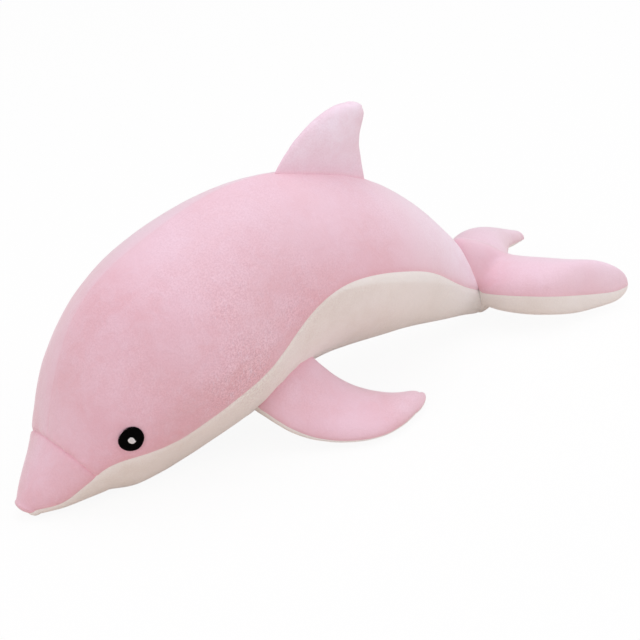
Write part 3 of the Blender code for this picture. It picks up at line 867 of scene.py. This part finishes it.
def make_flukes(tail_ring, tail_out):
    """The tail flukes of a top and an underside skin, joined to the tail seam at their neck."""
    skins = [smooth_rows(skin, FLUKE_SMOOTHING) for skin in fluke_surfaces()]
    middle = middle_between(skins)
    neck = slice(LOBE_ROWS, len(middle) - LOBE_ROWS)
    ring = np.concatenate([skin[neck, 0] for skin in skins])
    fields = []
    for k, (skin, sign) in enumerate(zip(skins, (1, -1))):
        gap = away_from(ring, skin)
        _, _, leading, trailing = edge_distances(skin)
        leading[neck] = np.inf
        edge = np.minimum(leading, trailing)
        to_axis = -tail_out[nearest_points(tail_ring, skin)[0]]
        fullness = np.clip(np.minimum(gap, edge) / FLUKE_LUMP_FADE, 0, 1)
        sway = fullness * waves(skin, *FLUKE_LUMPS, FLUKE_PATTERN + k)
        at_edge = drawn_in(skin, middle, seam_roll(skin, edge, FLUKE_SEAM))
        skin = skin + at_edge + to_axis * seam_roll(skin, gap, TAIL_SEAM)[..., None]
        skin[..., 2] += sway * sign
        # Painted light, paler towards the tips.
        at_neck, at_tip = FLUKE_PAINTED_LIGHT
        pile_and_light = at_neck + (at_tip - at_neck) * np.clip(gap / FLUKE_LENGTH, 0, 1)
        fields.append({
            "seam_line_and_painted_shade": seam_shade(edge + EDGE_SHADE, gap + EDGE_SHADE),
            "pile_and_painted_light": pile_and_light + waves(skin, *FLUKE_PILE_CHANGE),
            "pile_ruffle": np.full(edge.shape, FLUKE_RUFFLE),
        })
        skins[k] = close_tip(rest_on_floor(skin), (0, 1), (-1, -2))
    skins = filled(skins, np.concatenate([skin[:, k] for skin in skins for k in (0, -1)]))
    for skin, field, (name, node, slot) in zip(skins, fields, (
        ("fluke_skin_top", "fluke_top_panel", "pink_plush"),
        ("fluke_skin_underside", "fluke_bottom_panel", "white_plush"),
    )):
        finish_skin(name, skin, middle, slot, node, field)


def cushion(height, x, y):
    """How high the stitches of an eye stand at a place on it, lower towards its rim."""
    fall = 0.6 * ((x * x + y * y) / (EYE_DIAMETER / 2) ** 2) ** 2
    return height * math.sqrt(max(1 - fall, 0.05))


def stitches(name, place, strokes, thread, height, slot):
    """Satin stitches: threads laid side by side that follow the head and dive in at both ends."""
    work = bmesh.new()
    for start, end in strokes:
        loops = []
        run_x, run_y = np.subtract(end, start)
        for share in np.arange(THREAD_STEPS + 1) / THREAD_STEPS:
            x, y = start[0] + run_x * share, start[1] + run_y * share
            point, out = place(x, y)
            along = place(x + run_x * 0.01, y + run_y * 0.01)[0] - point
            along /= np.linalg.norm(along)
            across = np.cross(out, along)
            bow = (1 - (2 * share - 1) ** 6) ** 0.5
            centre = point + out * cushion(height, x, y) * bow - out * THREAD_DIVE * (1 - bow)
            loops.append([
                work.verts.new((
                    centre + (across * math.cos(turn) + out * math.sin(turn)) * thread
                    - (MIDDLE, 0, 0)
                ) * MM)
                for turn in np.arange(THREAD_SIDES) * 2 * math.pi / THREAD_SIDES
            ])
        for loop, following in zip(loops, loops[1:]):
            for i in range(THREAD_SIDES):
                k = (i + 1) % THREAD_SIDES
                work.faces.new((loop[i], loop[k], following[k], following[i]))
        work.faces.new(loops[0][::-1])
        work.faces.new(loops[-1])
    bmesh.ops.recalc_face_normals(work, faces=work.faces)
    mesh = bpy.data.meshes.new(name)
    work.to_mesh(mesh)
    work.free()
    mesh.shade_smooth()
    piece = add_piece(name, mesh)
    mesh.materials.append(finishes[slot])
    return piece


def ragged(y, pattern):
    """How far the end of a thread at height y overshoots or falls short."""
    return THREAD_RAGGEDNESS * noise.noise(Vector((y * 1.7, pattern, 0)))


def make_eye(word, side):
    """An embroidered eye: a black satin-stitched disc with a small white highlight."""
    place, _ = eye_place(side)
    radius = EYE_DIAMETER / 2
    black = []
    for y in np.arange(-radius + 0.35, radius - 0.3, BLACK_SPACING):
        reach = math.sqrt(radius ** 2 - y ** 2)
        black.append(((-reach - ragged(y, 1), y), (reach + ragged(y, 2), y)))
    name = f"eye_{word}_stitches"
    disc = stitches(name, place, black, BLACK_THREAD, EYE_RISE, "black_thread")
    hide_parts(f"eye_{word}")
    bright = []
    dot = EYE_DOT_DIAMETER / 2
    for y in np.arange(-dot + 0.3, dot - 0.2, WHITE_SPACING):
        reach = math.sqrt(dot ** 2 - y ** 2) * 0.92
        start = (-reach - 0.6 * ragged(y, 3), y + WHITE_SLANT)
        bright.append((start, (reach + 0.6 * ragged(y, 4), y - WHITE_SLANT)))
    for x in WHITE_TAILS:
        bright.append(((x - 0.8, -2.0), (x + 0.9, -4.4 + 0.3 * x)))
    name = f"eye_{word}_highlight"
    spot = stitches(name, place, bright, WHITE_THREAD, EYE_DOT_RISE, "white_thread")
    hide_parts(f"eye_{word}_dot")


class Nodes:
    """Places nodes in a material or group and joins them."""

    def __init__(self, tree):
        self.tree = tree

    def add(self, kind, **settings):
        """A new node of this kind."""
        node = self.tree.nodes.new(kind)
        for key, value in settings.items():
            setattr(node, key, value)
        return node

    def link(self, source, target):
        """Join two sockets."""
        self.tree.links.new(source, target)

    def fill(self, node, values):
        """Give inputs of a node a value, or another node's output."""
        for key, value in values.items():
            if isinstance(value, bpy.types.NodeSocket):
                self.link(value, node.inputs[key])
            else:
                node.inputs[key].default_value = value
        return node.outputs

    def noise(self, vector, scale, detail=2.0, roughness=0.5, distortion=0.0):
        """Cloudy noise from 0 to 1."""
        return self.fill(self.add("ShaderNodeTexNoise"), {
            "Vector": vector, "Scale": scale, "Detail": detail,
            "Roughness": roughness, "Distortion": distortion,
        })["Fac"]

    def stretched(self, vector, scale, turn):
        """Places turned and stretched, so that a pattern on them runs one way."""
        node = self.add("ShaderNodeMapping")
        return self.fill(node, {"Vector": vector, "Rotation": turn, "Scale": scale})["Vector"]

    def ramp(self, value, low, high, to_low=0.0, to_high=1.0):
        """Smooth step between two values."""
        node = self.add("ShaderNodeMapRange", interpolation_type="SMOOTHSTEP")
        return self.fill(node, {
            "Value": value, "From Min": low, "From Max": high, "To Min": to_low, "To Max": to_high,
        })["Result"]

    def math(self, kind, *values):
        """One value worked out from others."""
        node = self.add("ShaderNodeMath", operation=kind)
        return self.fill(node, dict(enumerate(values)))["Value"]

    def times(self, one, other):
        """Two values multiplied."""
        return self.math("MULTIPLY", one, other)

    def mix(self, share, low, high, blend="MIX"):
        """One colour turned into another by a share."""
        node = self.add("ShaderNodeMix", data_type="RGBA", blend_type=blend)
        return self.fill(node, {0: share, 6: low, 7: high})[2]


def new_group(name, inputs, outputs):
    """A shader group with its sockets, and the placer of its nodes."""
    group = bpy.data.node_groups.new(name, "ShaderNodeTree")
    for way, sockets in (("INPUT", inputs), ("OUTPUT", outputs)):
        for label, kind in sockets:
            group.interface.new_socket(label, in_out=way, socket_type=f"NodeSocket{kind}")
    return group, Nodes(group)


def make_pile_group():
    """Short brushed pile: patches lying one way or the other, fine tufts, and wisps, with painted
    light and painted seam shade.
    """
    inputs = [(label, "Color") for label in PILE_COLOURS]
    inputs += [(label, "Float") for label in PILE_STRENGTHS]
    outputs = (("Colour", "Color"), ("Height", "Float"), ("Roughness", "Float"))
    group, nodes = new_group("brushed_pile", inputs, outputs)
    given = nodes.add("NodeGroupInput").outputs
    where = nodes.add("ShaderNodeTexCoord").outputs["Object"]
    # The mesh's fields: seam line with painted seam shade, pile paled by painted light, ruffled
    # pile.
    seam, pile_and_light, ruffle = (
        nodes.add("ShaderNodeAttribute", attribute_name=name).outputs["Fac"]
        for name in ("seam_line_and_painted_shade", "pile_and_painted_light", "pile_ruffle")
    )

    patches = nodes.ramp(nodes.noise(where, 14.0, 3.0, 0.55, 0.4), 0.34, 0.66)
    smudges = nodes.ramp(nodes.noise(where, 60.0, 3.0, 0.6, 0.6), 0.36, 0.68)
    brushed = nodes.stretched(where, (1.0, 1.0, 0.34), (0.0, 0.35, 0.0))
    wisps = nodes.ramp(nodes.noise(brushed, 430.0, roughness=0.6, distortion=1.0), 0.54, 0.72)
    tufts = nodes.noise(where, 560.0, roughness=0.6)
    stretches = nodes.ramp(nodes.noise(where, 12.0), 0.40, 0.60, 0.5, 1.2)
    ruffled = nodes.times(stretches, ruffle)

    laid = nodes.times(patches, given["Patch Strength"])
    colour = nodes.mix(laid, given["Pile Colour"], given["Laid Colour"])
    # Painted light: the pile's pale colour where light falls on the toy.
    colour = nodes.mix(pile_and_light, colour, given["Pale Pile And Painted Light Colour"])
    light = nodes.times(nodes.times(smudges, 0.4), given["Patch Strength"])
    colour = nodes.mix(light, colour, given["Raised Colour"])
    wispy = nodes.times(nodes.times(wisps, ruffled), given["Wisp Strength"])
    colour = nodes.mix(wispy, colour, given["Raised Colour"])
    # The seam line's darker colour, with painted shade beside the seams and fin roots.
    near = nodes.times(seam, given["Seam Line And Painted Shade Strength"])
    colour = nodes.mix(near, colour, given["Seam Line And Painted Shade Colour"])
    speck = nodes.times(nodes.ramp(tufts, 0.25, 0.75, -1.0, 1.0), ruffled)
    speck = nodes.times(speck, given["Grain Strength"])
    grey = nodes.add("ShaderNodeCombineColor")
    for socket, strength in zip(grey.inputs, (1.0, 1.5, 1.35)):
        nodes.link(nodes.math("MULTIPLY_ADD", speck, strength, 1.0), socket)
    colour = nodes.mix(1.0, colour, grey.outputs["Color"], "MULTIPLY")

    height = nodes.math("ADD", nodes.times(tufts, 0.45), nodes.times(wispy, 0.7))
    height = nodes.math("ADD", height, nodes.times(smudges, 0.5))
    nodes.fill(nodes.add("NodeGroupOutput"), {
        "Colour": colour, "Height": height, "Roughness": nodes.ramp(tufts, 0.3, 0.7, 0.80, 0.95),
    })
    return group


def make_thread_group():
    """Twisted thread: fine slanting strands with a little change of tone."""
    inputs = (("Thread Colour", "Color"), ("Strand Colour", "Color"))
    group, nodes = new_group("twisted_thread", inputs, (("Colour", "Color"), ("Height", "Float")))
    given = nodes.add("NodeGroupInput").outputs
    where = nodes.add("ShaderNodeTexCoord").outputs["Object"]
    slanted = nodes.stretched(where, (1.0, 1.0, 0.35), (0.5, 0.3, 0.6))
    strands = nodes.noise(slanted, 2600.0)
    tone = nodes.ramp(nodes.noise(where, 260.0), 0.35, 0.7)
    share = nodes.times(strands, tone)
    nodes.fill(nodes.add("NodeGroupOutput"), {
        "Colour": nodes.mix(share, given["Thread Colour"], given["Strand Colour"]),
        "Height": strands,
    })
    return group


def new_material(name):
    """A material, the placer of its nodes, and its shader."""
    material = bpy.data.materials.new(name)
    material.use_nodes = True
    return material, Nodes(material.node_tree), material.node_tree.nodes["Principled BSDF"]


def bumped(nodes, height, strength, distance):
    """The direction of a surface with small bumps."""
    values = {"Strength": strength, "Distance": distance, "Height": height}
    return nodes.fill(nodes.add("ShaderNodeBump"), values)["Normal"]


def make_plush(name, group, sheen_tint, colours, strengths):
    """Short velvet plush with a soft pale rim."""
    material, nodes, shader = new_material(name)
    values = {label: (*colour, 1) for label, colour in zip(PILE_COLOURS, colours)}
    values |= dict(zip(PILE_STRENGTHS, strengths))
    pile = nodes.fill(nodes.add("ShaderNodeGroup", node_tree=group), values)
    nodes.fill(shader, {
        "Base Color": pile["Colour"],
        "Roughness": pile["Roughness"],
        "Normal": bumped(nodes, pile["Height"], 0.45, 0.0009),
        "Specular IOR Level": 0.15,
        "Sheen Weight": 0.8,
        "Sheen Roughness": 0.5,
        "Sheen Tint": (*sheen_tint, 1),
    })
    return material


def make_thread(name, group, thread, strand, roughness):
    """Embroidery thread with fine strands."""
    material, nodes, shader = new_material(name)
    strands = nodes.fill(nodes.add("ShaderNodeGroup", node_tree=group), {
        "Thread Colour": (*thread, 1), "Strand Colour": (*strand, 1),
    })
    nodes.fill(shader, {
        "Base Color": strands["Colour"],
        "Normal": bumped(nodes, strands["Height"], 0.3, 0.0001),
        "Roughness": roughness,
        "Specular IOR Level": 0.04,
    })
    return material


def make_materials():
    """The finish for each slot of the part."""
    pile, thread = make_pile_group(), make_thread_group()
    return {
        # Colours: lying, laid over, brushed up, pale painted light, seam line with painted seam
        # shade.
        "pink_plush": make_plush("pink_velvet", pile, (1.0, 0.96, 1.0), (
            (0.815, 0.470, 0.560),
            (0.780, 0.395, 0.455),
            (0.880, 0.640, 0.760),
            (0.950, 0.830, 0.965),
            (0.830, 0.420, 0.500),
        ), (0.75, 0.8, 0.55, 0.14)),
        "white_plush": make_plush("white_velvet", pile, (1.0, 0.97, 0.95), (
            (0.900, 0.865, 0.850),
            (0.840, 0.785, 0.745),
            (0.930, 0.910, 0.900),
            (0.930, 0.950, 0.970),
            (0.850, 0.770, 0.740),
        ), (0.9, 0.8, 0.35, 0.10)),
        "fibre_filling": make_plush("loose_fibre", pile, (1.0, 1.0, 1.0), (
            (0.86, 0.86, 0.84),
            (0.80, 0.80, 0.78),
            (0.90, 0.90, 0.89),
            (0.90, 0.90, 0.89),
            (0.86, 0.86, 0.84),
        ), (0.6, 0.8, 0.0, 0.2)),
        "black_thread": make_thread(
            "black_embroidery", thread, (0.001, 0.0008, 0.0008), (0.004, 0.003, 0.003), 0.9
        ),
        "white_thread": make_thread(
            "white_embroidery", thread, (0.78, 0.76, 0.77), (0.88, 0.87, 0.88), 0.6
        ),
    }


def make_floor():
    """A plain white floor that keeps a faint shadow and sends a little warm light back up."""
    mesh = bpy.data.meshes.new("floor")
    mesh.from_pydata([(-5, -5, 0), (5, -5, 0), (5, 5, 0), (-5, 5, 0)], [], [(0, 1, 2, 3)])
    floor = bpy.data.objects.new("floor", mesh)
    floor.location.z = -0.0005
    bpy.context.scene.collection.objects.link(floor)
    material, nodes, shader = new_material("studio_floor")
    material.node_tree.nodes.remove(shader)
    path = nodes.add("ShaderNodeLightPath").outputs
    seen = nodes.math("MAXIMUM", path["Is Camera Ray"], path["Is Glossy Ray"])
    seen = nodes.math("MAXIMUM", seen, path["Is Transmission Ray"])

    def painted(colour):
        return nodes.fill(nodes.add("ShaderNodeBsdfDiffuse"), {"Color": colour})[0]

    def blended(share, low, high):
        return nodes.fill(nodes.add("ShaderNodeMixShader"), {0: share, 1: low, 2: high})[0]

    glow = nodes.fill(nodes.add("ShaderNodeEmission"), {"Strength": 1.0})[0]
    white = blended(FLOOR_GLOW, painted((0.95, 0.95, 0.95, 1)), glow)
    final = blended(seen, painted((0.74, 0.62, 0.55, 1)), white)
    nodes.link(final, material.node_tree.nodes["Material Output"].inputs["Surface"])
    mesh.materials.append(material)


def make_light():
    """Pale surroundings and three soft boxes."""
    scene = bpy.context.scene
    world = bpy.data.worlds.new("studio")
    world.use_nodes = True
    scene.world = world
    sky = world.node_tree.nodes["Background"]
    sky.inputs["Color"].default_value = (1.0, 0.985, 0.98, 1)
    sky.inputs["Strength"].default_value = 0.55
    for name, place, size, power, colour in (
        ("overhead_softbox", (0.3, 0.3, 2.2), 2.2, 20.5, (0.98, 0.97, 1.0)),
        ("side_softbox", (2.3, -1.9, 1.4), 1.6, 18.5, (1.0, 0.97, 0.99)),
        ("front_softbox", (-2.2, -1.0, 1.5), 1.8, 16, (1.0, 0.98, 0.98)),
    ):
        data = bpy.data.lights.new(name, "AREA")
        data.shape = "SQUARE"
        data.size = size
        data.energy = power
        data.color = colour
        lamp = bpy.data.objects.new(name, data)
        lamp.location = place
        aim = Vector(place) - Vector(LIGHT_TARGET)
        lamp.rotation_euler = aim.to_track_quat("Z", "Y").to_euler()
        scene.collection.objects.link(lamp)


def make_camera():
    """The photograph's view: from the left front, looking down, the picture a little turned."""
    around, down, roll = (math.radians(turn) for turn in CAMERA_TURNS)
    target = (Vector(CAMERA_TARGET) - Vector((MIDDLE, 0, 0))) * MM
    level = Vector((math.sin(around), -math.cos(around), 0))
    right = Vector((math.cos(around), math.sin(around), 0))
    back = level * math.cos(down) + Vector((0, 0, math.sin(down)))
    up = back.cross(right)
    tilted_right = right * math.cos(roll) - up * math.sin(roll)
    tilted_up = up * math.cos(roll) + right * math.sin(roll)
    axes = Matrix((tilted_right, tilted_up, back)).transposed().to_4x4()
    data = bpy.data.cameras.new("camera")
    data.sensor_width = SENSOR_WIDTH
    data.lens = SENSOR_WIDTH * PIXELS_PER_MM * CAMERA_DISTANCE / PICTURE_WIDTH
    camera = bpy.data.objects.new("camera", data)
    camera.matrix_world = Matrix.Translation(target + back * CAMERA_DISTANCE * MM) @ axes
    bpy.context.scene.collection.objects.link(camera)
    bpy.context.scene.camera = camera


def make_dolphin():
    """All skins and eyes: the fins first, because the body is gathered round their roots."""
    grid, out = body_surface()
    faces = np.stack(grid_corners(grid), axis=2).reshape(-1, 4)
    tree = BVHTree.FromPolygons(grid.reshape(-1, 3).tolist(), faces.tolist())
    roots = [make_lobe(
        ("fin_skin_left", "fin_skin_right"), ("dorsal_fin_left_panel", "dorsal_fin_right_panel"),
        (FIN_LEADING, FIN_TRAILING), (FIN_HALF_THICKNESS, FIN_HALF_THICKNESS), (0, -1, 0),
        ("pink_plush", "pink_plush"), tree, 1, FIN_PATTERN, FIN_PAINTED_LIGHT,
    )]
    for word, side, pattern in zip(("left", "right"), (1, -1), FLIPPER_PATTERNS):
        roots.append(make_lobe(
            (f"flipper_{word}_skin_top", f"flipper_{word}_skin_underside"),
            (f"flipper_{word}_top", f"flipper_{word}_bottom"),
            (FLIPPER_LEADING, FLIPPER_TRAILING), (FLIPPER_TOP_RISE, FLIPPER_BOTTOM_DROP),
            (0, 0, 1), ("pink_plush", "white_plush"), tree, side, pattern, FLIPPER_PAINTED_LIGHT,
        ))
    make_body(grid, out, roots)
    make_flukes(grid[-1], out[-1])
    for word, side in (("left", 1), ("right", -1)):
        make_eye(word, side)


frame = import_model()
bpy.context.scene.view_settings.view_transform = "Standard"
finishes = make_materials()
make_dolphin()
for node in frame["nodes"].values():
    if not node.hide_render:
        node.data.materials.clear()
        node.data.materials.append(finishes["fibre_filling"])
make_floor()
make_light()
make_camera()
